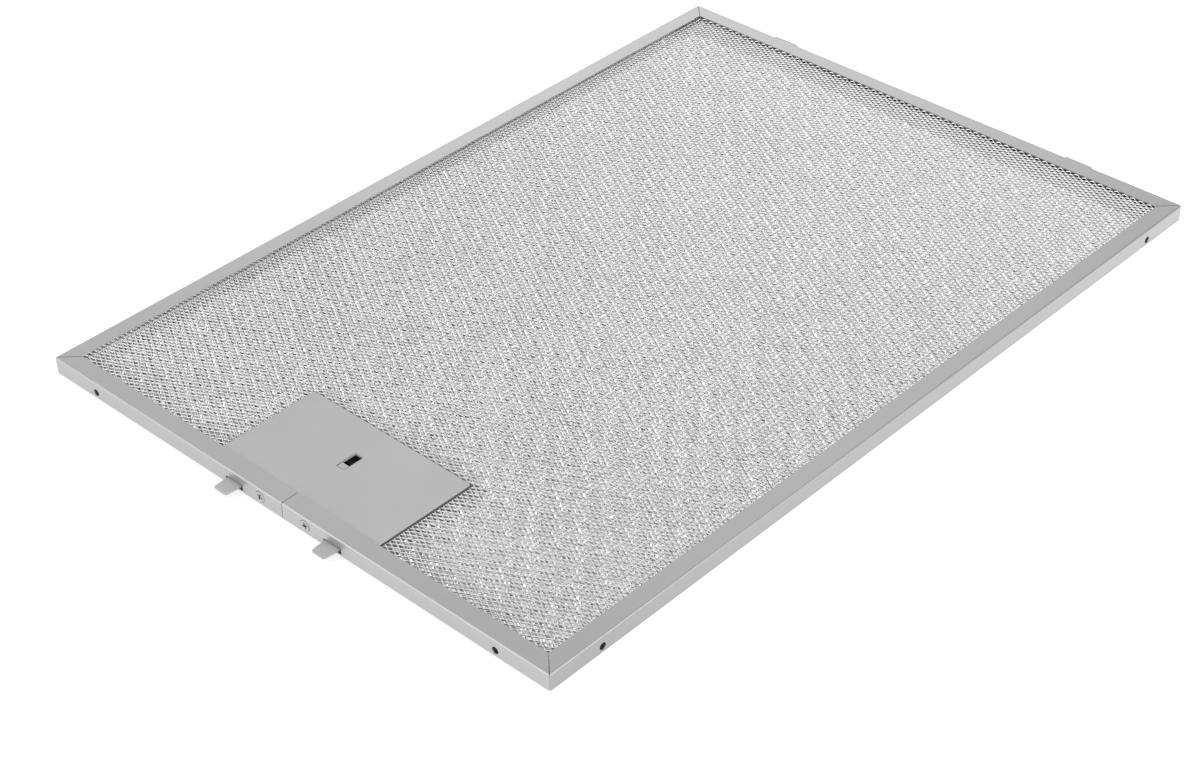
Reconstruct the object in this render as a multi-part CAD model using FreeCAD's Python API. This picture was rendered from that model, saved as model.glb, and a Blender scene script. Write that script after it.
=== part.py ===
import FreeCAD, Part
import math
import os

V = FreeCAD.Vector
os.makedirs("parts", exist_ok=True)

# ---------------------------------------------------------------------------
# Grease filter cassette: a folded aluminium rail frame around expanded-metal
# layers, with a sprung sliding latch at the middle of one short side.
# X runs across the latch side, -Y points out of the latch side, +Z is the
# clean side (the side with the plain latch cover).  Origin: centre of the
# rail rectangle, on the plane the lower flanges rest on.  Millimetres.
# ---------------------------------------------------------------------------

# rail frame
W = 283.5            # outside width, along X
L = 400.0            # outside length, along Y
H = 8.0              # rail height
T = 0.6              # rail sheet thickness
FL = 8.2             # flange width, outer face to free edge
R_FOLD = 0.7         # outside radius of the long folds
R_CORNER = 1.0       # outside radius of the four wall corners
MITRE_GAP = 0.26     # open mitre between two flanges at a corner
SEAM_GAP = 0.26      # butt seam of the strip, middle of the latch side

DRAIN_D = 3.2        # drain holes in the walls
DRAIN_Z = 3.2
DRAIN_IN = 27.0      # hole centre to the nearest corner

TONGUE_X = 28.3      # tongue centre line, each side of the middle
SLOT_W = 10.0        # wall slot for a tongue
SLOT_Z0, SLOT_Z1 = 1.2, 3.9

SCREW_X = 13.0
SCREW_Z = 4.0
HEAD_D = 4.8
HEAD_CONE = 1.3      # depth of the countersunk head
HEAD_PLAY = 0.25     # ring between a head and its countersink
SHANK_D = 2.5
SCREW_END = 9.5      # screw length measured from the outer face

TAB_X = 86.0         # lanced tabs on the side opposite the latch
TAB_W = 14.5
TAB_OUT = 2.9
TAB_Z1 = 6.3         # top face of a tab
TAB_WIN_Z0 = 2.8     # lower edge of the window the tab is bent out of

# expanded-metal layers (closed slabs of the outer shape)
FACE_T = 1.0         # face mesh height
FACE_Z1 = 6.7        # top of the upper face mesh
FACE_EDGE_GAP = 0.7  # to the inside of the wall
RIM_W = 5.2          # crimped border that bears on the flange
MEDIA_X0, MEDIA_X1 = -128.3, 132.4   # the inner layers lie a little towards one side
MEDIA_Y0, MEDIA_Y1 = -190.4, 185.0
MEDIA_T = 1.0
MEDIA_Z = (2.42, 3.5, 4.58)
MEDIA_NOTCH_X = 48.0
MEDIA_NOTCH_Y = -140.2

# latch housing
HX = 45.0            # half width
HY0, HY1 = -199.0, -143.2
COVER_Z1 = 7.35
COVER_T = 1.2
RIM_T = 1.3
BASE_Z0, BASE_Z1 = 0.65, 1.4
COVER_R = 1.0
PIN_X, PIN_Y0, PIN_Y1 = 40.2, -193.6, -148.0
PIN_D = 2.4

PEG_SLOT_X = 2.35    # half width of the slot in the cover
PEG_SLOT_Y0, PEG_SLOT_Y1 = -170.3, -159.9

# sliding latch
TRAVEL = 6.8
SL_Z0, SL_Z1 = 1.55, 3.0
TONGUE_TIP = 7.4     # how far a tongue stands out of the wall
TONGUE_ROOT_W = 8.0
TONGUE_TIP_W = 7.2
TONGUE_Z0, TONGUE_Z1 = 2.6, 3.5
TONGUE_IN = 7.0      # length of a tongue that lies on the bar
WELL_X = 9.0         # opening in the bar behind the peg
WELL_Y0, WELL_Y1 = -166.2, -153.8
BAR_X = 33.0
BAR_Y0, BAR_Y1 = -187.0, -152.2
PEG_X = 1.9
PEG_Y0, PEG_Y1 = -170.0, -167.0
PEG_Z1 = 7.2
PAD_X = 13.0
PAD_Y0, PAD_Y1 = -176.0, -162.0
PAD_Z0 = 0.2
WIN_X = 13.5
WIN_Y0, WIN_Y1 = -176.5, -154.5

# return springs
SPRING_X = 20.0
SPRING_Z = 4.6
SPRING_R = 1.1       # mean radius
SPRING_WIRE = 0.5
SPRING_TURNS = 11
LUG_Y = -176.2       # bearing face on the slider
SEAT_Y = -154.0      # bearing face in the cover


def box(x0, x1, y0, y1, z0, z1):
    return Part.makeBox(x1 - x0, y1 - y0, z1 - z0, V(x0, y0, z0))


def cyl(r, h, at, along):
    return Part.makeCylinder(r, h, V(*at), V(*along))


def edges_along(shape, axis, test=lambda c: True):
    """Straight edges that run along one axis and whose middle passes a test."""
    out = []
    for e in shape.Edges:
        if len(e.Vertexes) != 2:
            continue
        d = e.Vertexes[1].Point - e.Vertexes[0].Point
        if d.Length < 1e-6:
            continue
        d.normalize()
        if abs(abs(d[axis]) - 1.0) < 1e-6 and test(e.CenterOfMass):
            out.append(e)
    return out


def edges_at_z(shape, z, test=lambda c: True):
    return [e for e in shape.Edges
            if abs(e.BoundBox.ZMin - z) < 1e-6 and abs(e.BoundBox.ZMax - z) < 1e-6
            and test(e.CenterOfMass)]


def rounded_block(x0, x1, y0, y1, z0, z1, r_vertical, r_rim):
    s = box(x0, x1, y0, y1, z0, z1)
    s = s.makeFillet(r_vertical, edges_along(s, 2))
    return s.makeFillet(r_rim, edges_at_z(s, z0) + edges_at_z(s, z1))


def fuse(first, *others):
    s = first
    for o in others:
        s = s.fuse(o)
    return s.removeSplitter()


# ---------------------------------------------------------------------------
# rail frame: one strip folded to a channel, notched and bent at the corners
# ---------------------------------------------------------------------------
def frame_channel():
    s = rounded_block(-W / 2, W / 2, -L / 2, L / 2, 0, H, R_CORNER, R_FOLD)
    inner = rounded_block(-W / 2 + T, W / 2 - T, -L / 2 + T, L / 2 - T, T, H - T,
                          R_CORNER - T, R_FOLD - T)
    s = s.cut(inner)
    s = s.cut(box(-W / 2 + FL, W / 2 - FL, -L / 2 + FL, L / 2 - FL, -1, H + 1))

    # open mitres in the upper and lower flanges
    for sx in (-1, 1):
        for sy in (-1, 1):
            ix, iy = sx * (W / 2 - FL - 1.0), sy * (L / 2 - FL - 1.0)
            for z0, z1 in ((-1.0, R_FOLD + 0.05), (H - R_FOLD - 0.05, H + 1.0)):
                b = box(0, (FL + 3.0) * math.sqrt(2), -MITRE_GAP / 2, MITRE_GAP / 2, z0, z1)
                b.rotate(V(0, 0, 0), V(0, 0, 1), math.degrees(math.atan2(sy, sx)))
                b.translate(V(ix, iy, 0))
                s = s.cut(b)

    # butt seam of the strip
    s = s.cut(box(-SEAM_GAP / 2, SEAM_GAP / 2, -L / 2 - 1, -L / 2 + FL + 1, -1, H + 1))

    # drain holes, two in each wall
    for k in (-1, 1):
        x = k * (W / 2 - DRAIN_IN)
        y = k * (L / 2 - DRAIN_IN)
        for sy in (-1, 1):
            s = s.cut(cyl(DRAIN_D / 2, 4, (x, sy * L / 2 - 2, DRAIN_Z), (0, 1, 0)))
        for sx in (-1, 1):
            s = s.cut(cyl(DRAIN_D / 2, 4, (sx * W / 2 - 2, y, DRAIN_Z), (1, 0, 0)))

    # slots for the tongues and countersunk holes for the housing screws
    for k in (-1, 1):
        b = box(k * TONGUE_X - SLOT_W / 2, k * TONGUE_X + SLOT_W / 2,
                -L / 2 - 1, -L / 2 + T + 1, SLOT_Z0, SLOT_Z1)
        b = b.makeFillet(0.5, edges_along(b, 1))
        s = s.cut(b)
        s = s.cut(screw_hole(k * SCREW_X))

    # tabs lanced out of the far wall and bent outwards along their upper edge
    for k in (-1, 1):
        x0, x1 = k * TAB_X - TAB_W / 2, k * TAB_X + TAB_W / 2
        s = s.cut(box(x0, x1, L / 2 - T - 0.5, L / 2 + 1, TAB_WIN_Z0, TAB_Z1 - T))
        tab = box(x0, x1, L / 2 - T, L / 2 + TAB_OUT, TAB_Z1 - T, TAB_Z1)
        tab = tab.makeFillet(1.0, edges_along(tab, 2, lambda c: c.y > L / 2))
        s = s.fuse(tab)
    return s.removeSplitter()


def screw_hole(x):
    """Clearance for one countersunk screw, from outside the latch wall inwards."""
    face = -L / 2
    r0, r1 = HEAD_D / 2 + HEAD_PLAY, SHANK_D / 2 + 0.05
    cone = Part.makeCone(r0, r1, HEAD_CONE, V(x, face, SCREW_Z), V(0, 1, 0))
    mouth = cyl(r0, 1.0, (x, face - 1.0, SCREW_Z), (0, 1, 0))
    bore = cyl(r1, SCREW_END + 0.6, (x, face, SCREW_Z), (0, 1, 0))
    return mouth.fuse(cone).fuse(bore)


# ---------------------------------------------------------------------------
# expanded-metal layers
# ---------------------------------------------------------------------------
def face_mesh(upper):
    x = W / 2 - T - FACE_EDGE_GAP
    y = L / 2 - T - FACE_EDGE_GAP
    z0, z1 = FACE_Z1 - FACE_T, FACE_Z1
    z_rim = H - T - 0.02
    s = box(-x, x, -y, y, z0, z1)
    rim = box(-x, x, -y, y, z0, z_rim).cut(
        box(-x + RIM_W, x - RIM_W, -y + RIM_W, y - RIM_W, z0 - 1, z_rim + 1))
    s = s.fuse(rim)
    s = s.cut(box(-HX - 0.4, HX + 0.4, -L, HY1 + 0.4, -1, H + 1))
    s = s.removeSplitter()
    if not upper:
        s = s.mirror(V(0, 0, H / 2), V(0, 0, 1))
    return s


def media_layer(z0):
    s = box(MEDIA_X0, MEDIA_X1, MEDIA_Y0, MEDIA_Y1, z0, z0 + MEDIA_T)
    return s.cut(box(-MEDIA_NOTCH_X, MEDIA_NOTCH_X, -L, MEDIA_NOTCH_Y, -1, H + 1))


# ---------------------------------------------------------------------------
# latch housing
# ---------------------------------------------------------------------------
def latch_cover():
    s = box(-HX, HX, HY0, HY1, BASE_Z1 + 0.05, COVER_Z1)
    s = s.makeFillet(1.4, edges_along(s, 2, lambda c: c.y > -150))
    s = s.makeFillet(COVER_R, edges_at_z(s, COVER_Z1, lambda c: c.y > HY0 + 1.0))
    room = box(-HX + RIM_T, HX - RIM_T, HY0 + 1.3, HY1 - RIM_T, 0, COVER_Z1 - COVER_T)
    room = room.makeFillet(0.6, edges_along(room, 2))
    s = s.cut(room)

    z_in = COVER_Z1 - COVER_T
    # guide ribs beside the slider
    for k in (-1, 1):
        x0, x1 = sorted((k * (BAR_X + 0.3), k * (BAR_X + 1.5)))
        s = s.fuse(box(x0, x1, -190.0, HY1 - RIM_T + 0.1, SL_Z0, z_in + 0.1))
        # screw bosses against the latch wall
        s = s.fuse(box(k * SCREW_X - 3.4, k * SCREW_X + 3.4, HY0 + 0.5, -187.6,
                       1.6, z_in + 0.1))
        # spring seats with their spigots
        s = s.fuse(box(k * SPRING_X - 2.3, k * SPRING_X + 2.3, SEAT_Y, SEAT_Y + 1.6,
                       SL_Z1 + 0.25, z_in + 0.1))
        s = s.fuse(cyl(0.6, 5.0, (k * SPRING_X, SEAT_Y - 4.5, SPRING_Z), (0, 1, 0)))
        # sockets for the base pins
        for y in (PIN_Y0, PIN_Y1):
            s = s.fuse(cyl(2.9, z_in + 0.1 - BASE_Z1 - 0.05,
                           (k * PIN_X, y, BASE_Z1 + 0.05), (0, 0, 1)))
    for k in (-1, 1):
        for y in (PIN_Y0, PIN_Y1):
            s = s.cut(cyl(PIN_D / 2 + 0.05, 4.2, (k * PIN_X, y, 0.9), (0, 0, 1)))
        s = s.cut(screw_hole(k * SCREW_X))
        s = s.cut(box(k * TONGUE_X - SLOT_W / 2, k * TONGUE_X + SLOT_W / 2,
                      HY0 - 1, HY0 + 2.2, 0, SLOT_Z1))
    slot = box(-PEG_SLOT_X, PEG_SLOT_X, PEG_SLOT_Y0, PEG_SLOT_Y1, z_in - 1, H)
    slot = slot.makeFillet(0.45, edges_along(slot, 2))
    return s.cut(slot).removeSplitter()


def latch_base():
    s = box(-HX, HX, HY0, HY1, BASE_Z0, BASE_Z1)
    s = s.makeFillet(1.4, edges_along(s, 2, lambda c: c.y > -150))
    s = s.makeFillet(0.35, edges_at_z(s, BASE_Z0, lambda c: c.y > HY0 + 1.0))
    win = box(-WIN_X, WIN_X, WIN_Y0, WIN_Y1, 0, 2)
    s = s.cut(win.makeFillet(1.2, edges_along(win, 2)))
    for k in (-1, 1):
        for y in (PIN_Y0, PIN_Y1):
            p = cyl(PIN_D / 2, 3.5, (k * PIN_X, y, BASE_Z1 - 0.1), (0, 0, 1))
            s = s.fuse(p)
    return s.removeSplitter()


def latch_slider():
    s = box(-BAR_X, BAR_X, BAR_Y0, BAR_Y1, SL_Z0, SL_Z1)
    s = s.makeFillet(1.5, edges_along(s, 2))
    tip = -L / 2 - TONGUE_TIP
    for k in (-1, 1):
        a, b = TONGUE_ROOT_W / 2, TONGUE_TIP_W / 2
        c = k * TONGUE_X
        z = TONGUE_Z0
        pts = [V(c - a, BAR_Y0 + TONGUE_IN, z), V(c - a, -L / 2 - 1.2, z),
               V(c - b, tip, z), V(c + b, tip, z),
               V(c + a, -L / 2 - 1.2, z), V(c + a, BAR_Y0 + TONGUE_IN, z)]
        t = Part.Face(Part.makePolygon(pts + pts[:1])).extrude(V(0, 0, TONGUE_Z1 - z))
        t = t.makeFillet(1.2, edges_along(t, 2, lambda p: p.y < tip + 0.5))
        # lead-in: the upper edge of the tip is broken so that it rides over the ledge
        t = t.makeFillet(0.25, [e for e in t.Edges
                                if abs(e.BoundBox.ZMin - TONGUE_Z1) < 1e-6
                                and e.CenterOfMass.y < -L / 2 - 0.5])
        s = s.fuse(t)
        # spring lug and spigot
        s = s.fuse(box(c - c + k * SPRING_X - 2.3, k * SPRING_X + 2.3, LUG_Y - 1.8, LUG_Y,
                       SL_Z1 - 0.2, 5.9))
        s = s.fuse(cyl(0.6, 4.5, (k * SPRING_X, LUG_Y - 0.5, SPRING_Z), (0, 1, 0)))
    # opening in the bar, so that grease that gets through the slot of the cover drains
    well = box(-WELL_X, WELL_X, WELL_Y0, WELL_Y1, SL_Z0 - 1, SL_Z1 + 1)
    s = s.cut(well.makeFillet(1.0, edges_along(well, 2)))
    # peg that shows in the slot of the cover
    peg = box(-PEG_X, PEG_X, PEG_Y0, PEG_Y1, SL_Z1 - 0.2, PEG_Z1)
    peg = peg.makeFillet(0.25, edges_along(peg, 2) + edges_at_z(peg, PEG_Z1))
    s = s.fuse(peg)
    # finger pad on the underside, ribbed across the travel
    pad = box(-PAD_X, PAD_X, PAD_Y0, PAD_Y1, PAD_Z0, SL_Z0 + 0.2)
    pad = pad.makeFillet(1.0, edges_along(pad, 2))
    for i in range(6):
        y = PAD_Y0 + 2.0 + i * 2.0
        g = Part.Face(Part.makePolygon([V(-PAD_X - 1, y - 0.7, PAD_Z0 - 0.01),
                                        V(-PAD_X - 1, y + 0.7, PAD_Z0 - 0.01),
                                        V(-PAD_X - 1, y, PAD_Z0 + 0.75),
                                        V(-PAD_X - 1, y - 0.7, PAD_Z0 - 0.01)]))
        pad = pad.cut(g.extrude(V(2 * PAD_X + 2, 0, 0)))
    return s.fuse(pad).removeSplitter()


def latch_spring(x):
    length = (SEAT_Y - LUG_Y) - SPRING_WIRE - 0.1
    helix = Part.makeHelix(length / SPRING_TURNS, length, SPRING_R)
    ring = Part.Wire(Part.makeCircle(SPRING_WIRE / 2, V(SPRING_R, 0, 0), V(0, 1, 0)))
    s = Part.Wire(helix).makePipeShell([ring], True, True)
    s.rotate(V(0, 0, 0), V(1, 0, 0), -90)
    s.translate(V(x, LUG_Y + SPRING_WIRE / 2 + 0.05, SPRING_Z))
    return s


def housing_screws():
    out = []
    for k in (-1, 1):
        x, face = k * SCREW_X, -L / 2
        head = Part.makeCone(HEAD_D / 2, SHANK_D / 2, HEAD_CONE, V(x, face, SCREW_Z), V(0, 1, 0))
        rim = cyl(HEAD_D / 2, 0.06, (x, face - 0.06, SCREW_Z), (0, 1, 0))
        shank = cyl(SHANK_D / 2, SCREW_END - 1.5, (x, face, SCREW_Z), (0, 1, 0))
        point = Part.makeCone(SHANK_D / 2, 0.3, 1.5, V(x, face + SCREW_END - 1.5, SCREW_Z), V(0, 1, 0))
        s = rim.fuse(head).fuse(shank).fuse(point)
        half = 0.34
        cross = None
        for arm, deep in ((1.45, 0.8), (0.85, 2.0)):
            for a, b in ((arm, half), (half, arm)):
                bar = box(x - a, x + a, face - 1, face + deep, SCREW_Z - b, SCREW_Z + b)
                cross = bar if cross is None else cross.fuse(bar)
        cross.rotate(V(x, face, SCREW_Z), V(0, 1, 0), 20 + 50 * (k > 0))
        out.append(s.cut(cross).removeSplitter())
    return Part.makeCompound(out)


PARTS = {
    "frame_channel": frame_channel,
    "upper_face_mesh": lambda: face_mesh(True),
    "lower_face_mesh": lambda: face_mesh(False),
    "media_layer_lower": lambda: media_layer(MEDIA_Z[0]),
    "media_layer_middle": lambda: media_layer(MEDIA_Z[1]),
    "media_layer_upper": lambda: media_layer(MEDIA_Z[2]),
    "latch_cover": latch_cover,
    "latch_base": latch_base,
    "latch_slider": latch_slider,
    "latch_spring_left": lambda: latch_spring(-SPRING_X),
    "latch_spring_right": lambda: latch_spring(SPRING_X),
    "housing_screws": housing_screws,
}

for name, make in PARTS.items():
    shape = make()
    shape.exportStep("parts/%s.step" % name)
    bb = shape.BoundBox
    print("%-20s solids %d valid %s volume %.1f  x %.2f..%.2f y %.2f..%.2f z %.2f..%.2f" % (
        name, len(shape.Solids), shape.isValid(), shape.Volume,
        bb.XMin, bb.XMax, bb.YMin, bb.YMax, bb.ZMin, bb.ZMax))
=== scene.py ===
import math

import bpy
import numpy as np
from mathutils import Matrix, Vector


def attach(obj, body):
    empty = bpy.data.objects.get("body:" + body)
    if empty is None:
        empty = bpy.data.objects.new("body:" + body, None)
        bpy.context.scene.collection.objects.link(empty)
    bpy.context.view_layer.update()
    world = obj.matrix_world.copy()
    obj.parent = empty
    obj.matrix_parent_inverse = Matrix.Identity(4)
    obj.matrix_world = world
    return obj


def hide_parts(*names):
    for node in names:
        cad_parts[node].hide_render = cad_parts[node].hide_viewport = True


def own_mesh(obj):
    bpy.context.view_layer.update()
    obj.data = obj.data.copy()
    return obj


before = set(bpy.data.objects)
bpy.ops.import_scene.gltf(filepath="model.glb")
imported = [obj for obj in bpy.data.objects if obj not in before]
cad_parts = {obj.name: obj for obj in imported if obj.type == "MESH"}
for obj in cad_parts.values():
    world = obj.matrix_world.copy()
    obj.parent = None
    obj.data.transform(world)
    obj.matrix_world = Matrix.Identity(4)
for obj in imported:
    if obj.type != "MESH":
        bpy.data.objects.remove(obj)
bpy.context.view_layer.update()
scene = bpy.context.scene
scene.view_settings.view_transform = "Standard"
scene.view_settings.look = "None"
scene.cycles.use_denoising = True
scene.cycles.denoising_prefilter = "NONE"
MM = 0.001

# ---------------------------------------------------------------------------
# camera: the photograph's viewing angle
# ---------------------------------------------------------------------------
right = Vector((0.7288794, 0.6842260, -0.0238670))
down = Vector((0.3959796, -0.4497474, -0.8005794))
ahead = Vector((-0.5585114, 0.5740750, -0.5987512))
place = Vector((0.5959311, -0.6372398, 0.6053016))
cam_data = bpy.data.cameras.new("camera")
cam_data.sensor_fit = "HORIZONTAL"
cam_data.sensor_width = 36.0
cam_data.lens = 74.4772
cam_data.clip_start = 0.02
cam_data.clip_end = 50.0
cam = bpy.data.objects.new("camera", cam_data)
scene.collection.objects.link(cam)
cam.matrix_world = Matrix((
    (right.x, -down.x, -ahead.x, place.x),
    (right.y, -down.y, -ahead.y, place.y),
    (right.z, -down.z, -ahead.z, place.z),
    (0, 0, 0, 1),
))
scene.camera = cam

# ---------------------------------------------------------------------------
# studio: a bright sweep all round, a large soft light high on the left
# ---------------------------------------------------------------------------
world = bpy.data.worlds.new("studio")
scene.world = world
world.use_nodes = True
wt = world.node_tree
wt.nodes.clear()
w_out = wt.nodes.new("ShaderNodeOutputWorld")
w_bg = wt.nodes.new("ShaderNodeBackground")
w_tc = wt.nodes.new("ShaderNodeTexCoord")
w_sep = wt.nodes.new("ShaderNodeSeparateXYZ")
wt.links.new(w_tc.outputs["Generated"], w_sep.inputs[0])
wt.links.new(w_bg.outputs[0], w_out.inputs[0])
w_ramp = wt.nodes.new("ShaderNodeValToRGB")
stops = w_ramp.color_ramp
stops.interpolation = "EASE"


def grey(v):
    return (v, v, v, 1.0)


SKY = ((0.0, 0.84), (0.14, 0.82), (0.28, 0.68), (0.54, 0.66), (0.66, 0.585), (0.74, 0.61),
       (0.86, 0.82), (1.0, 0.84))
stops.elements[0].position, stops.elements[0].color = SKY[0][0], grey(SKY[0][1])
stops.elements[1].position, stops.elements[1].color = SKY[-1][0], grey(SKY[-1][1])
for pos, val in SKY[1:-1]:
    e = stops.elements.new(pos)
    e.color = grey(val)
wt.links.new(w_sep.outputs["Z"], w_ramp.inputs[0])
total = w_ramp.outputs[0]
# (direction, cosine at the edge, cosine at the core, radiance)
LOBES = (
    ((-0.62, 0.67, 0.40), 0.955, 0.998, 0.75),
    ((0.62, -0.62, 0.48), 0.84, 0.94, 0.3),
    ((-0.20, -0.97, 0.12), 0.80, 0.95, 0.42),
    ((-0.91, 0.06, 0.40), 0.957, 0.990, 2.2),
    ((-0.76, 0.40, 0.50), 0.950, 0.990, 0.09),
)
for d, c0, c1, power in LOBES:
    dot = wt.nodes.new("ShaderNodeVectorMath")
    dot.operation = "DOT_PRODUCT"
    dot.inputs[1].default_value = Vector(d).normalized()
    wt.links.new(w_tc.outputs["Generated"], dot.inputs[0])
    rng_node = wt.nodes.new("ShaderNodeMapRange")
    rng_node.interpolation_type = "SMOOTHSTEP"
    rng_node.inputs["From Min"].default_value = c0
    rng_node.inputs["From Max"].default_value = c1
    rng_node.inputs["To Min"].default_value = 0.0
    rng_node.inputs["To Max"].default_value = power
    wt.links.new(dot.outputs["Value"], rng_node.inputs["Value"])
    add = wt.nodes.new("ShaderNodeMath")
    add.operation = "ADD"
    wt.links.new(total, add.inputs[0])
    wt.links.new(rng_node.outputs[0], add.inputs[1])
    total = add.outputs[0]
wt.links.new(total, w_bg.inputs["Strength"])
w_bg.inputs["Color"].default_value = (1, 1, 1, 1)

side_data = bpy.data.lights.new("side_light", "AREA")
side_data.shape = "SQUARE"
side_data.size = 0.5
side_data.energy = 4.6
side = bpy.data.objects.new("side_light", side_data)
scene.collection.objects.link(side)
side.location = (0.95, 0.0, 0.45)
front_data = bpy.data.lights.new("front_light", "AREA")
front_data.shape = "SQUARE"
front_data.size = 1.0
front_data.energy = 3.0
front = bpy.data.objects.new("front_light", front_data)
scene.collection.objects.link(front)
front.location = (-0.35, -0.95, 0.50)
front.rotation_euler = (Vector((0.0, -0.2, 0.0)) - front.location).to_track_quat("-Z", "Y").to_euler()
side.rotation_euler = (Vector((0.14, 0.1, 0.0)) - side.location).to_track_quat("-Z", "Y").to_euler()


# ---------------------------------------------------------------------------
# materials
# ---------------------------------------------------------------------------
class Nodes:
    """A material with one Principled shader and a few short cuts."""

    def __init__(self, name):
        self.mat = bpy.data.materials.new(name)
        self.mat.use_nodes = True
        self.tree = self.mat.node_tree
        self.tree.nodes.clear()
        self.out = self.tree.nodes.new("ShaderNodeOutputMaterial")
        self.bsdf = self.tree.nodes.new("ShaderNodeBsdfPrincipled")
        self.tree.links.new(self.bsdf.outputs[0], self.out.inputs["Surface"])
        self.coord = self.tree.nodes.new("ShaderNodeTexCoord").outputs["Object"]

    def link(self, a, b):
        self.tree.links.new(a, b)

    def set(self, **values):
        for key, value in values.items():
            self.bsdf.inputs[key.replace("_", " ")].default_value = value

    def mapped(self, scale):
        m = self.tree.nodes.new("ShaderNodeMapping")
        m.inputs["Scale"].default_value = scale
        self.link(self.coord, m.inputs["Vector"])
        return m.outputs["Vector"]

    def noise(self, scale, detail=2.0, rough=0.5, vector=None):
        n = self.tree.nodes.new("ShaderNodeTexNoise")
        n.inputs["Scale"].default_value = scale
        n.inputs["Detail"].default_value = detail
        n.inputs["Roughness"].default_value = rough
        self.link(vector or self.coord, n.inputs["Vector"])
        return n.outputs["Fac"]

    def span(self, value, low, high, frm=(0.3, 0.7)):
        m = self.tree.nodes.new("ShaderNodeMapRange")
        m.inputs["From Min"].default_value = frm[0]
        m.inputs["From Max"].default_value = frm[1]
        m.inputs["To Min"].default_value = low
        m.inputs["To Max"].default_value = high
        self.link(value, m.inputs["Value"])
        return m.outputs[0]

    def ramp(self, value, *points):
        r = self.tree.nodes.new("ShaderNodeValToRGB")
        els = r.color_ramp.elements
        els[0].position, els[0].color = points[0][0], (*points[0][1], 1)
        els[1].position, els[1].color = points[-1][0], (*points[-1][1], 1)
        for p, c in points[1:-1]:
            els.new(p).color = (*c, 1)
        self.link(value, r.inputs[0])
        return r.outputs[0]

    def math(self, op, a, b):
        m = self.tree.nodes.new("ShaderNodeMath")
        m.operation = op
        for i, v in enumerate((a, b)):
            if isinstance(v, (int, float)):
                m.inputs[i].default_value = v
            else:
                self.link(v, m.inputs[i])
        return m.outputs[0]

    def within(self, *limits):
        """1 inside a box of the part's own coordinates, given as (axis, low, high), and 0 outside."""
        axes = self.tree.nodes.new("ShaderNodeSeparateXYZ")
        self.link(self.coord, axes.inputs[0])
        mask = None
        for axis, low, high in limits:
            off = self.math("ABSOLUTE", self.math("SUBTRACT", axes.outputs[axis], (low + high) / 2), 0.0)
            hit = self.math("LESS_THAN", off, (high - low) / 2)
            mask = hit if mask is None else self.math("MULTIPLY", mask, hit)
        return mask

    def blend(self, mask, a, b):
        mix = self.tree.nodes.new("ShaderNodeMix")
        mix.data_type = "RGBA"
        self.link(mask, mix.inputs["Factor"])
        self.link(a, mix.inputs["A"])
        mix.inputs["B"].default_value = (*b, 1.0)
        return mix.outputs["Result"]

    def bump(self, height, strength, distance):
        b = self.tree.nodes.new("ShaderNodeBump")
        b.inputs["Strength"].default_value = strength
        b.inputs["Distance"].default_value = distance
        self.link(height, b.inputs["Height"])
        self.link(b.outputs[0], self.bsdf.inputs["Normal"])


def rail_material():
    m = Nodes("satin_aluminium")
    m.set(Metallic=1.0)
    broad = m.noise(9.0, 3.0)
    # rolling marks run along the strip, so two stretched patterns stand in for the two directions
    along_x = m.noise(60.0, 3.0, 0.6, m.mapped((0.6, 40.0, 40.0)))
    along_y = m.noise(60.0, 3.0, 0.6, m.mapped((40.0, 0.6, 40.0)))
    marks = m.math("MULTIPLY", m.math("ADD", along_x, along_y), 0.5)
    tone = m.math("ADD", m.math("MULTIPLY", broad, 0.6), m.math("MULTIPLY", marks, 0.4))
    colour = m.ramp(tone, (0.36, (0.512, 0.512, 0.514)), (0.64, (0.542, 0.542, 0.544)))
    # painted shade: the inside of the channel is painted dark, and the outsides of the side walls are painted a
    # touch darker
    between_sides = m.within(("X", -0.14122, 0.14122))
    between_ends = m.within(("Y", -0.19947, 0.19947))
    flanges_in = m.within(("Z", 0.00055, 0.00745))
    # painted shade: the outsides of the side walls are painted a touch darker than the ends
    colour = m.blend(m.math("SUBTRACT", 1.0, between_sides), colour, (0.445, 0.445, 0.447))
    # painted shade: the faces inside the channel, between its flanges, are painted near black
    inside = m.math("MULTIPLY", m.math("MULTIPLY", between_sides, between_ends), flanges_in)
    colour = m.blend(inside, colour, (0.10, 0.10, 0.101))
    # painted shade: the inside of the channel at the rear end is painted a dark grey of its own
    rear_channel_shade = m.within(("X", -0.1412, 0.1412), ("Y", 0.175, 0.1999), ("Z", 0.00055, 0.00745))
    # painted light: the inside of the channel along the left side is painted near white
    left_channel_light = m.within(("X", -0.1416, -0.120), ("Y", -0.1994, 0.1994), ("Z", 0.00055, 0.00745))
    colour = m.blend(rear_channel_shade, colour, (0.22, 0.22, 0.221))
    colour = m.blend(left_channel_light, colour, (0.95, 0.95, 0.951))
    # painted light: at its four corners the inside of the channel is painted a light grey instead of the dark
    # painted shade
    channel_corner_light = m.math("MULTIPLY", m.math("SUBTRACT", 1.0, m.within(("X", -0.1330, 0.1330))),
                     m.math("SUBTRACT", 1.0, m.within(("Y", -0.1913, 0.1913))))
    colour = m.blend(m.math("MULTIPLY", channel_corner_light, inside), colour, (0.75, 0.75, 0.752))
    m.link(colour, m.bsdf.inputs["Base Color"])
    outside = m.math("SUBTRACT", 1.0, m.math("MULTIPLY", between_sides, between_ends))
    rough = m.math("ADD", m.span(marks, 0.27, 0.35), m.math("MULTIPLY", outside, 0.16))
    m.link(rough, m.bsdf.inputs["Roughness"])
    m.bump(marks, 0.06, 0.00003)
    return m.mat


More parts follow.
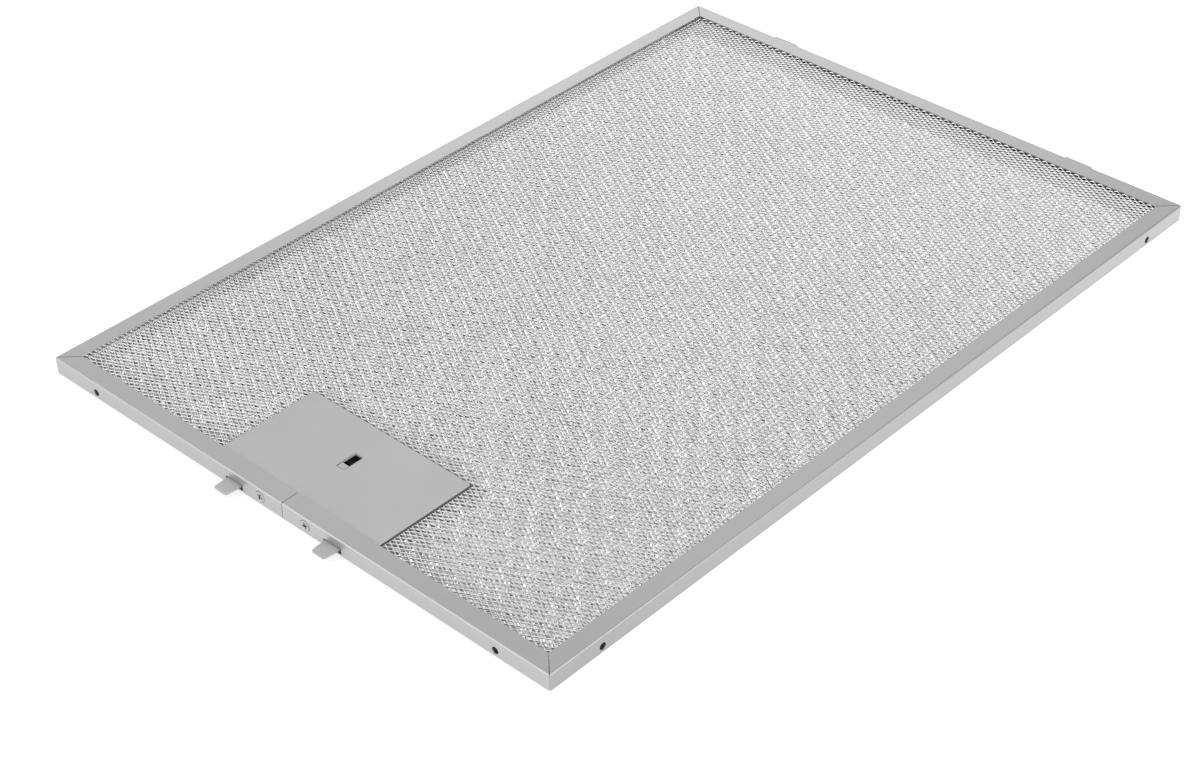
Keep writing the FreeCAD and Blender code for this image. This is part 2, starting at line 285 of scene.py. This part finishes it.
def plastic_material(name, low, high):
    m = Nodes(name)
    m.set(Roughness=0.5, IOR=1.46)
    broad = m.noise(26.0, 3.0)
    grain = m.noise(2600.0, 2.0)
    flakes = m.noise(1500.0, 1.0)
    tone = m.math("ADD", m.math("MULTIPLY", broad, 0.7), m.math("MULTIPLY", flakes, 0.3))
    colour = m.ramp(tone, (0.35, low), (0.65, high))
    # painted shade: the faces under the slot are painted black
    under = m.within(("X", -0.0125, 0.0125), ("Y", -0.1756, -0.1480), ("Z", 0.00138, 0.0060))
    colour = m.blend(under, colour, (0.008, 0.008, 0.008))
    # painted shade: the bottom of the rounded side edges, where the mesh stops short of them, is painted dark
    edge_foot_shade = m.math("SUBTRACT", m.within(("X", -0.0470, 0.0470), ("Z", 0.0040, 0.00658)), m.within(("X", -0.0440, 0.0440)))
    m.link(m.blend(m.math("MAXIMUM", edge_foot_shade, 0.0), colour, (0.12, 0.12, 0.121)), m.bsdf.inputs["Base Color"])
    m.link(m.span(grain, 0.44, 0.56), m.bsdf.inputs["Roughness"])
    m.bump(grain, 0.12, 0.00004)
    return m.mat


def mesh_material(name, low, high, rough, bump, border=False):
    m = Nodes(name)
    m.set(Metallic=1.0)
    patch = m.noise(420.0, 2.0)
    broad = m.noise(40.0, 2.0)
    tone = m.math("ADD", m.math("MULTIPLY", patch, 0.75), m.math("MULTIPLY", broad, 0.25))
    colour = m.ramp(tone, (0.36, low), (0.62, high))
    if border:
        # painted shade: the edge that two of the flanges cover is painted dark
        unshaded_part = m.within(("X", -0.1400, 0.1337), ("Y", -0.1919, 0.1990))
        colour = m.blend(m.math("SUBTRACT", 1.0, unshaded_part), colour, (0.10, 0.10, 0.10))
    m.link(colour, m.bsdf.inputs["Base Color"])
    m.link(m.span(patch, *rough), m.bsdf.inputs["Roughness"])
    m.bump(m.noise(700.0, 2.0), *bump)
    return m.mat


def steel_material(name, low, high, rough):
    m = Nodes(name)
    m.set(Metallic=1.0)
    fine = m.noise(900.0, 3.0)
    m.link(m.ramp(fine, (0.35, low), (0.65, high)), m.bsdf.inputs["Base Color"])
    m.link(m.span(fine, *rough), m.bsdf.inputs["Roughness"])
    m.bump(fine, 0.08, 0.00003)
    return m.mat


RAIL = rail_material()
COVER = plastic_material("silver_grey_cover", (0.408, 0.408, 0.411), (0.436, 0.436, 0.439))
SLIDER = plastic_material("silver_grey_slider", (0.40, 0.40, 0.403), (0.43, 0.43, 0.433))
FACE = mesh_material("bright_face_mesh", (0.81, 0.81, 0.81), (0.895, 0.895, 0.895),
                     (0.28, 0.40), (0.12, 0.00025))
# painted light: the lower face mesh is a lighter copy of the face mesh's colour, standing in for light in the
# shade it lies in
FACE_LOW = mesh_material("lower_mesh_painted_light", (0.91, 0.91, 0.91), (0.97, 0.97, 0.97),
                         (0.44, 0.58), (0.12, 0.00025), border=True)
MEDIA = mesh_material("bright_inner_mesh", (0.74, 0.74, 0.74), (0.86, 0.86, 0.86),
                      (0.13, 0.22), (0.25, 0.0002))
SPRING = steel_material("drawn_wire", (0.5, 0.5, 0.51), (0.62, 0.62, 0.63), (0.2, 0.32))
SCREW = steel_material("plated_screw", (0.47, 0.47, 0.47), (0.56, 0.56, 0.56), (0.3, 0.42))


def dress(node, material):
    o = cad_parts[node]
    o.data.materials.clear()
    o.data.materials.append(material)


dress("frame_channel", RAIL)
dress("latch_cover", COVER)
dress("latch_base", COVER)
dress("latch_slider", SLIDER)
dress("housing_screws", SCREW)


# ---------------------------------------------------------------------------
# expanded-metal sheets
# ---------------------------------------------------------------------------
def step(t):
    t = np.clip(t, 0.0, 1.0)
    return t * t * (3 - 2 * t)


def add_piece(name, verts, faces, material, node, body="cassette"):
    mesh = bpy.data.meshes.new(name)
    mesh.from_pydata((np.asarray(verts) * MM).tolist(), [], faces)
    mesh.validate()
    mesh.update()
    mesh.materials.append(material)
    o = bpy.data.objects.new(name, mesh)
    scene.collection.objects.link(o)
    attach(o, body)
    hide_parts(node)
    return o


def spans(y_low, y_high, x_of, x_lim, notch):
    """The stretches of a straight line x_of(y) that lie on the sheet and off the notch."""
    a, b = x_of(0.0), x_of(1.0) - x_of(0.0)
    lo, hi = sorted(((-x_lim - a) / b, (x_lim - a) / b))
    lo, hi = max(lo, y_low), min(hi, y_high)
    if hi - lo < 1.0:
        return []
    nx, ny = notch
    cut_lo, cut_hi = sorted(((-nx - a) / b, (nx - a) / b))
    cut_hi = min(cut_hi, ny)
    if cut_hi <= max(cut_lo, lo) or cut_lo >= hi:
        return [(lo, hi)]
    out = []
    if cut_lo - lo > 1.0:
        out.append((lo, cut_lo))
    if hi - cut_hi > 1.0:
        out.append((cut_hi, hi))
    return out


def crossed_sheet(pitch, x_lim, y_low, y_high, notch, z_of, strand, tilt_deg, seg, seed,
                   turn_deg=0.0, wobble=0.0):
    """Slit and stretched sheet in a plainer form: tilted strands in two directions that cross."""
    rng = np.random.default_rng(seed)
    px, py = pitch
    w, t = strand
    verts, faces = [], []
    count = 0
    tilts = {1: math.radians(tilt_deg[0]), -1: math.radians(tilt_deg[1])}
    phase = rng.uniform(0, 2 * math.pi, 8)

    def lean(x, y, tilt):
        """A slow change of the tilt over the sheet."""
        return tilt + wobble * (
            0.5 * np.sin(x / 9.1 + y / 15.3 + phase[0]) + 0.5 * np.sin(x / 14.7 - y / 7.9 + phase[1]))

    n_lines = int((2 * x_lim + (y_high - y_low) * px / py) / px) + 4
    for sign in (1, -1):
        slope = sign * px / py
        for i in range(-n_lines, n_lines + 1):
            x0 = i * px
            for lo, hi in spans(y_low, y_high, lambda y: x0 + slope * y, x_lim, notch):
                n = max(1, int(round((hi - lo) * math.hypot(1, slope) / seg)))
                y = np.linspace(lo, hi, n + 1)
                x = x0 + slope * y
                z = z_of(x, y)
                th = lean(x, y, tilts[sign]) + rng.normal(0, 0.02, n + 1)
                k = math.hypot(1, slope)
                p = np.array([-math.copysign(1, slope), abs(slope), 0.0]) / k
                up = np.array([0.0, 0.0, 1.0])
                u = p[None] * np.cos(th)[:, None] + up[None] * np.sin(th)[:, None]
                nn = -p[None] * np.sin(th)[:, None] + up[None] * np.cos(th)[:, None]
                c = np.stack([x, y, z], 1)
                ring = np.stack([c - u * w / 2 - nn * t / 2, c + u * w / 2 - nn * t / 2,
                                 c + u * w / 2 + nn * t / 2, c - u * w / 2 + nn * t / 2], 1)
                verts.append(ring.reshape(-1, 3))
                e = count + 4 * n
                tube = [(count, count + 1, count + 2, count + 3), (e + 3, e + 2, e + 1, e)]
                for s in range(n):
                    a = count + 4 * s
                    for q in range(4):
                        q2 = (q + 1) % 4
                        tube.append((a + q, a + 4 + q, a + 4 + q2, a + q2))
                # the ring turns the other way in one of the directions, and its faces must look outwards too
                faces.extend(f[::-1] for f in tube) if sign > 0 else faces.extend(tube)
                count += 4 * (n + 1)

    v = np.concatenate(verts)
    if turn_deg:
        a = math.radians(turn_deg)
        v[:, :2] = v[:, :2] @ np.array([[math.cos(a), math.sin(a)], [-math.sin(a), math.cos(a)]])
    return v, faces


def ribbon_sheet(pitch, x_range, rows, notch, z_of, section, lift, bond, seed, lean=0.05, flats=True):
    """Slit and stretched sheet, as zigzag ribbons that are joined to the next one at each knuckle.

    rows are the first and last knuckle line, section is the ribbon's outline across its run, lift is
    half the height that a ribbon climbs between two knuckles and bond is a knuckle's length.
    """
    rng = np.random.default_rng(seed)
    px, h = pitch[0], pitch[1] / 2
    sec = np.array(section, float)
    m = len(sec)
    reach = sec[:, 0].max() - sec[:, 0].min()
    middle = (sec[:, 0].max() + sec[:, 0].min()) / 2
    verts, faces = [], []
    count = 0
    for j in range(*rows):
        low, high = j * h + reach / 2 - middle, (j + 1) * h - reach / 2 - middle
        start = 0.5 * (j % 2) * px
        first = math.floor((x_range[0] - start) / px) - 1
        n = int((x_range[1] - x_range[0]) / px) + 5
        down = start + px * np.arange(first, first + n)
        if flats:
            xs = np.stack([down - bond / 2, down + bond / 2,
                           down + (px - bond) / 2, down + (px + bond) / 2], 1).ravel()
            up = np.tile([0.0, 0.0, 1.0, 1.0], n)
        else:
            xs = np.stack([down, down + px / 2], 1).ravel()
            up = np.tile([0.0, 1.0], n)
        stretches = [x_range]
        if (j + 0.5) * h < notch[1]:
            stretches = [(x_range[0], -notch[0]), (notch[0], x_range[1])]
        for lo, hi in stretches:
            inside = (xs > lo + 0.15) & (xs < hi - 0.15)
            x = np.concatenate([[lo], xs[inside], [hi]])
            k = np.interp(x, xs, up)
            x[1:-1] += rng.normal(0, 0.04, len(x) - 2)
            y = low + (high - low) * k + rng.normal(0, 0.012, len(x))
            z = z_of(x, y) + lift * (2 * k - 1) + rng.normal(0, 0.015, len(x))
            turn = rng.normal(0, lean, len(x))
            cs, sn = np.cos(turn)[:, None], np.sin(turn)[:, None]
            sy = sec[None, :, 0] * cs - sec[None, :, 1] * sn
            sz = sec[None, :, 0] * sn + sec[None, :, 1] * cs
            ring = np.stack([np.repeat(x[:, None], m, 1), y[:, None] + sy, z[:, None] + sz], 2)
            verts.append(ring.reshape(-1, 3))
            s = count + m * np.arange(len(x) - 1)
            for q in range(m):
                q2 = (q + 1) % m
                faces.append(np.stack([s + q, s + q2, s + m + q2, s + m + q], 1))
            ends = (tuple(count + q for q in range(m - 1, -1, -1)),
                    tuple(count + m * (len(x) - 1) + q for q in range(m)))
            faces.append(np.array(ends))
            count += m * len(x)
    quads = [f for block in faces for f in block.tolist()]
    return np.concatenate(verts), quads


HALF_W, HALF_L = 141.75, 200.0
COVER_X, COVER_Y = 45.0, -143.2


def rim_rise(x, y):
    """The border of a face sheet is crimped towards its flange."""
    edge = np.minimum(HALF_W - np.abs(x), HALF_L - np.abs(y))
    return 0.62 * step((9.6 - edge) / 3.4)


def beside_cover(x, y):
    """The sheet is pressed down a little at the sides of the latch housing, and turned up behind it."""
    dx = np.maximum(np.abs(x) - COVER_X, 0.0)
    dy = np.maximum(y - COVER_Y, 0.0)
    side = step(1.0 - np.hypot(dx, dy) / 6.0)
    back = step(1.0 - np.hypot(np.maximum(np.abs(x) - COVER_X + 3.0, 0.0), dy) / 4.5)
    return np.where(y > COVER_Y, 0.2 * side * (1.0 - step(dy / 1.5)) * step(dx / 2.0) - 0.72 * back, 0.2 * side)


def z_upper(x, y):
    wave = 0.05 * np.sin(x / 17.0 + 0.6) * np.sin(y / 23.0) + 0.04 * np.sin(x / 7.3 - y / 9.1)
    return 6.33 + rim_rise(x, y) - beside_cover(x, y) + wave


def z_lower(x, y):
    wave = 0.05 * np.sin(x / 19.0 - 0.4) * np.sin(y / 21.0 + 1.0)
    return 1.67 - rim_rise(x, y) + beside_cover(x, y) + wave


A_PITCH = (4.27, 2.31)
B_PITCH = (6.33, 3.97)

# outline of a face ribbon: a ridge with a short steep side to the latch and a long flat one behind it
FACE_SECTION = ((-0.31, -0.34), (0.25, 0.085), (-0.14, 0.01))


def line_range(pitch, low, high):
    return round(low / (pitch[1] / 2)), round(high / (pitch[1] / 2))


for name, z_of, part, rows, seed in (
        ("upper_face_mesh", z_upper, "front", (-195.6, -65.0), 11),
        ("upper_face_mesh", z_upper, "middle", (-65.0, 65.0), 12),
        ("upper_face_mesh", z_upper, "back", (65.0, 195.6), 13),
        ("lower_face_mesh", z_lower, "front", (-195.6, 0.0), 14),
        ("lower_face_mesh", z_lower, "back", (0.0, 195.6), 15)):
    upper = name.startswith("upper")
    section = FACE_SECTION if upper else [(y, -z) for y, z in reversed(FACE_SECTION)]
    v, f = ribbon_sheet(A_PITCH, (-137.4, 137.4), line_range(A_PITCH, *rows), (45.6, -142.7), z_of, section,
                        0.16 if upper else -0.16, 0.6, seed, 0.02, flats=upper)
    add_piece(name + "_" + part, v, f, FACE if upper else FACE_LOW, name)

# the inner layers lie a little towards one side of the rail
MEDIA_X = (-127.9, 132.0)
MEDIA_Y = (-190.0, 181.4)


def z_media(zc, seed):
    return lambda x, y: (zc + 0.10 * np.sin(x / 5.3 + seed) * np.sin(y / 6.1 + seed)
                         + 0.08 * np.sin((x + y) / 11.0))


v, f = ribbon_sheet(B_PITCH, MEDIA_X, line_range(B_PITCH, *MEDIA_Y), (48.2, -140.4), z_media(5.06, 23),
                    ((-0.42, -0.37), (0.42, 0.209), (-0.42, -0.209)), 0.0, 1.4, 23, 0.12)
add_piece("media_layer_upper_sheet", v, f, MEDIA, "media_layer_upper")
shift = sum(MEDIA_X) / 2
for name, zc, seed, turn, tilt in (("media_layer_lower", 2.92, 21, -0.3, (-30, -30)),
                                   ("media_layer_middle", 4.0, 22, 0.25, (25, 25))):
    v, f = crossed_sheet(B_PITCH, MEDIA_X[1] - shift - 0.8, MEDIA_Y[0] + 0.8, MEDIA_Y[1] - 0.8, (50.6, -139.6),
                          z_media(zc, seed), (1.0, 0.16), tilt, 40.0, seed, turn, 0.15)
    v[:, 0] += shift
    add_piece(name + "_sheet", v, f, MEDIA, name)


# ---------------------------------------------------------------------------
# return springs
# ---------------------------------------------------------------------------
def coil(x, y0, y1, z, radius, wire, turns):
    """A close-ended compression spring along Y, as a closed tube."""
    per, sides = 28, 8
    n = int(turns * per)
    s = np.linspace(0, turns, n + 1)
    # one dead turn at each end, the pitch is even between them
    live = np.clip((s - 0.9) / (turns - 1.8), 0, 1)
    dead = wire * 1.02
    y = y0 + wire / 2 + dead * np.minimum(s, 0.9) + dead * np.maximum(s - (turns - 0.9), 0)
    y = y + live * ((y1 - y0) - wire - 1.8 * dead)
    a = 2 * math.pi * s
    c = np.stack([x + radius * np.cos(a), y, z + radius * np.sin(a)], 1)
    d = np.gradient(c, axis=0)
    d /= np.linalg.norm(d, axis=1)[:, None]
    out = np.stack([np.cos(a), np.zeros_like(a), np.sin(a)], 1)
    side = np.cross(d, out)
    verts, faces = [], []
    for k in range(n + 1):
        for q in range(sides):
            b = 2 * math.pi * q / sides
            verts.append(c[k] + wire / 2 * (out[k] * math.cos(b) + side[k] * math.sin(b)))
    for k in range(n):
        for q in range(sides):
            q2 = (q + 1) % sides
            faces.append((k * sides + q, k * sides + q2, (k + 1) * sides + q2, (k + 1) * sides + q))
    faces.append(tuple(range(sides - 1, -1, -1)))
    faces.append(tuple(n * sides + q for q in range(sides)))
    return np.array(verts), faces


for name, x in (("latch_spring_left", -20.0), ("latch_spring_right", 20.0)):
    v, f = coil(x, -176.1, -154.05, 4.6, 1.1, 0.5, 11)
    o = add_piece(name + "_coil", v, f, SPRING, name)
    for p in o.data.polygons:
        p.use_smooth = True
    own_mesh(o)

# ---------------------------------------------------------------------------
# floor
# ---------------------------------------------------------------------------
fm = Nodes("pale_floor")
fm.set(Roughness=0.9)
fm.bsdf.inputs["Specular IOR Level"].default_value = 0.0
fm.link(fm.ramp(fm.noise(3.0, 2.0), (0.4, (0.39, 0.39, 0.39)), (0.6, (0.41, 0.41, 0.41))),
        fm.bsdf.inputs["Base Color"])
# lit from below round the part like a light table, a little stronger towards the back, weakly under
# the mesh and not at all under the latch
fm.set(Emission_Color=(1.0, 1.0, 1.0, 1.0))
fm_axes = fm.tree.nodes.new("ShaderNodeSeparateXYZ")
fm.link(fm.coord, fm_axes.inputs[0])
under = fm.within(("X", -0.1405, 0.1405), ("Y", -0.1985, 0.1985))
latch = fm.within(("X", -0.056, 0.056), ("Y", -0.1985, -0.141))
around = fm.math("SUBTRACT", 1.0, under)
glow = fm.math("MULTIPLY", fm.span(fm_axes.outputs["Y"], 0.68, 1.06, (-0.2, 0.2)), around)
middle = fm.within(("X", -0.1405, 0.1405), ("Y", -0.1985, 0.165))
glow_under = fm.math("MULTIPLY", fm.math("SUBTRACT", middle, latch),
                     fm.span(fm_axes.outputs["Y"], 0.03, 0.10, (-0.19, 0.05)))
fm.link(fm.math("ADD", glow, glow_under), fm.bsdf.inputs["Emission Strength"])
fm.mat.cycles.emission_sampling = "NONE"
floor_mesh = bpy.data.meshes.new("floor")
floor_mesh.from_pydata([(-6, -6, -0.0003), (6, -6, -0.0003), (6, 6, -0.0003), (-6, 6, -0.0003)], [],
                       [(0, 1, 2, 3)])
floor_mesh.materials.append(fm.mat)
floor = bpy.data.objects.new("floor", floor_mesh)
scene.collection.objects.link(floor)
